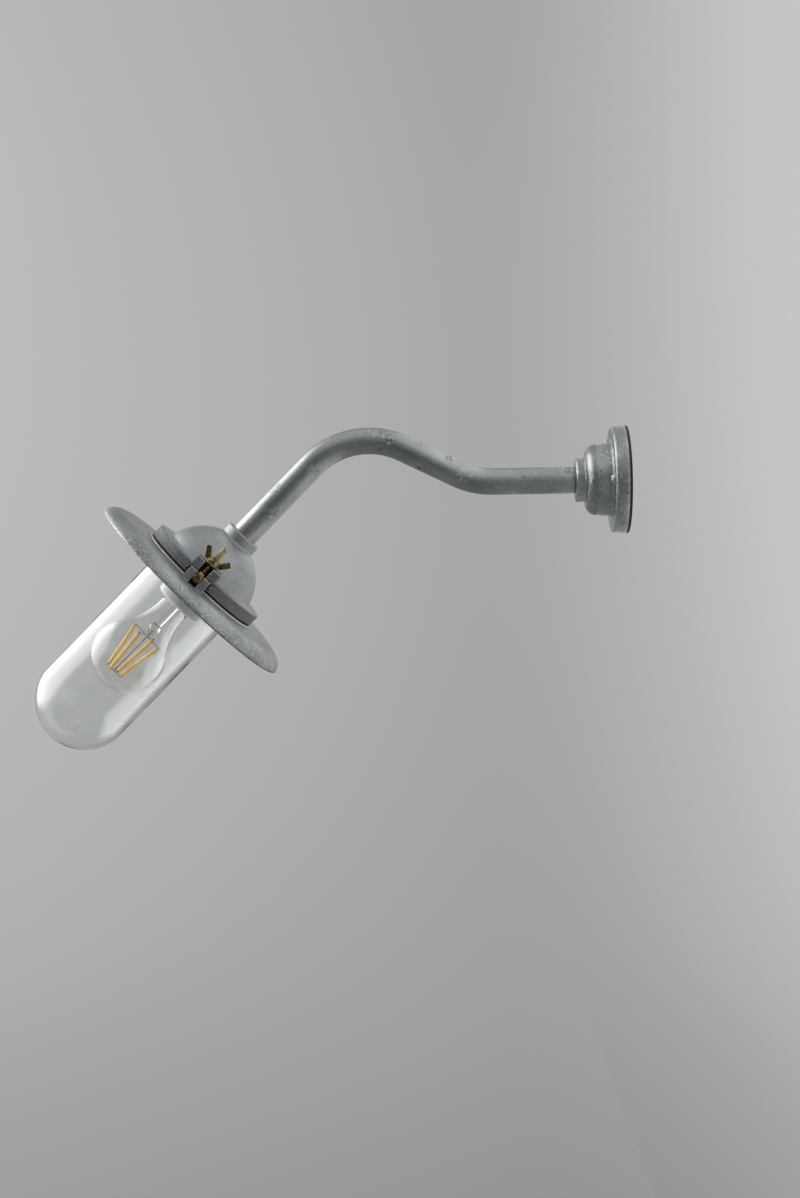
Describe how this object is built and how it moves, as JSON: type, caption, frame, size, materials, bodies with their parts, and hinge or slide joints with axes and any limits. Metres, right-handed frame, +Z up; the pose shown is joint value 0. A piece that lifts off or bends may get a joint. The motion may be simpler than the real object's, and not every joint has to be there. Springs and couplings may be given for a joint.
{
  "type": "outdoor wall light",
  "caption": "Galvanised swan-neck outdoor wall light: round wall plate, bent tube, dome head with visor, clear well glass and filament lamp, held by brass swing bolts and wing nuts.",
  "frame": {"origin": "centre of the wall plate's fixing holes, on the wall plane at the back of the wall gasket", "axes": "+X into the wall, the light stands out towards -X; +Z up; the arm lies in the plane Y = 0"},
  "size_m": [0.4763, 0.1878, 0.2536],
  "materials": {
    "galvanised_iron": "hot-dip galvanised, satin",
    "galvanised_tube": "hot-dip galvanised, satin",
    "aged_brass": "aged, semi-polished",
    "black_rubber": "matt",
    "clear_glass": "clear",
    "lamp_glass": "clear",
    "porcelain": "white glaze",
    "plated_steel": "zinc plated",
    "lamp_aluminium": "bright",
    "filament": "amber phosphor",
    "flex_sheath": "matt"
  },
  "bodies": {
    "fixture": {"wall_gasket": "black_rubber", "wall_plate": "galvanised_iron", "swan_neck_tube": "galvanised_tube", "dome": "galvanised_iron", "dome_gasket": "black_rubber", "glass_seat_gasket": "black_rubber", "visor": "galvanised_iron", "well_glass": "clear_glass", "front_clevis_pin": "aged_brass", "rear_clevis_pin": "aged_brass", "lampholder_bracket": "plated_steel", "bracket_screws": "plated_steel", "holder_screws": "plated_steel", "lampholder_body": "porcelain", "screw_shell": "aged_brass", "centre_contact": "aged_brass", "terminal_block": "porcelain", "terminal_screws": "aged_brass", "earth_screw": "aged_brass", "lamp_flex": "flex_sheath"},
    "lamp_end": {"lamp_contact": "lamp_aluminium"},
    "lamp": {"lamp_cap": "lamp_aluminium", "lamp_envelope": "lamp_glass", "lamp_stem": "lamp_glass", "lamp_filaments": "filament", "lamp_wires": "plated_steel"},
    "front_bolt": {"front_swing_bolt": "aged_brass"},
    "front_washer": {"front_washer": "aged_brass"},
    "front_nut": {"front_wing_nut": "aged_brass"},
    "rear_bolt": {"rear_swing_bolt": "aged_brass"},
    "rear_washer": {"rear_washer": "aged_brass"},
    "rear_nut": {"rear_wing_nut": "aged_brass"}
  },
  "joints": [
    {"name": "front_bolt_swing", "type": "hinge", "parent": "fixture", "child": "front_bolt", "pos_m": [-0.33822, -0.061, -0.07068], "axis": [0.7071, 0, -0.7071], "range_deg": [0, 90]},
    {"name": "front_nut_rise", "type": "slide", "parent": "front_bolt", "child": "front_washer", "axis": [0.7071, 0, 0.7071], "range_m": [0, 0.004]},
    {"name": "front_nut_turn", "type": "hinge", "parent": "front_washer", "child": "front_nut", "pos_m": [-0.32864, -0.061, -0.0611], "axis": [0.7071, 0, 0.7071], "range_deg": [0, 1800]},
    {"name": "rear_bolt_swing", "type": "hinge", "parent": "fixture", "child": "rear_bolt", "pos_m": [-0.33822, 0.061, -0.07068], "axis": [-0.7071, 0, 0.7071], "range_deg": [0, 90]},
    {"name": "rear_nut_rise", "type": "slide", "parent": "rear_bolt", "child": "rear_washer", "axis": [0.7071, 0, 0.7071], "range_m": [0, 0.004]},
    {"name": "rear_nut_turn", "type": "hinge", "parent": "rear_washer", "child": "rear_nut", "pos_m": [-0.32864, 0.061, -0.0611], "axis": [0.7071, 0, 0.7071], "range_deg": [0, 1800]},
    {"name": "lamp_advance", "type": "slide", "parent": "fixture", "child": "lamp_end", "axis": [-0.7071, 0, -0.7071], "range_m": [0, 0.01453]},
    {"name": "lamp_turn", "type": "hinge", "parent": "lamp_end", "child": "lamp", "pos_m": [-0.34101, 0, -0.07347], "axis": [-0.7071, 0, -0.7071], "range_deg": [0, 1440]}
  ],
  "couplings": [
    {"joint": "front_nut_rise", "follows": "front_nut_turn", "m_per_rad": 0.00012732},
    {"joint": "rear_nut_rise", "follows": "rear_nut_turn", "m_per_rad": 0.00012732},
    {"joint": "lamp_advance", "follows": "lamp_turn", "m_per_rad": 0.00057757}
  ]
}
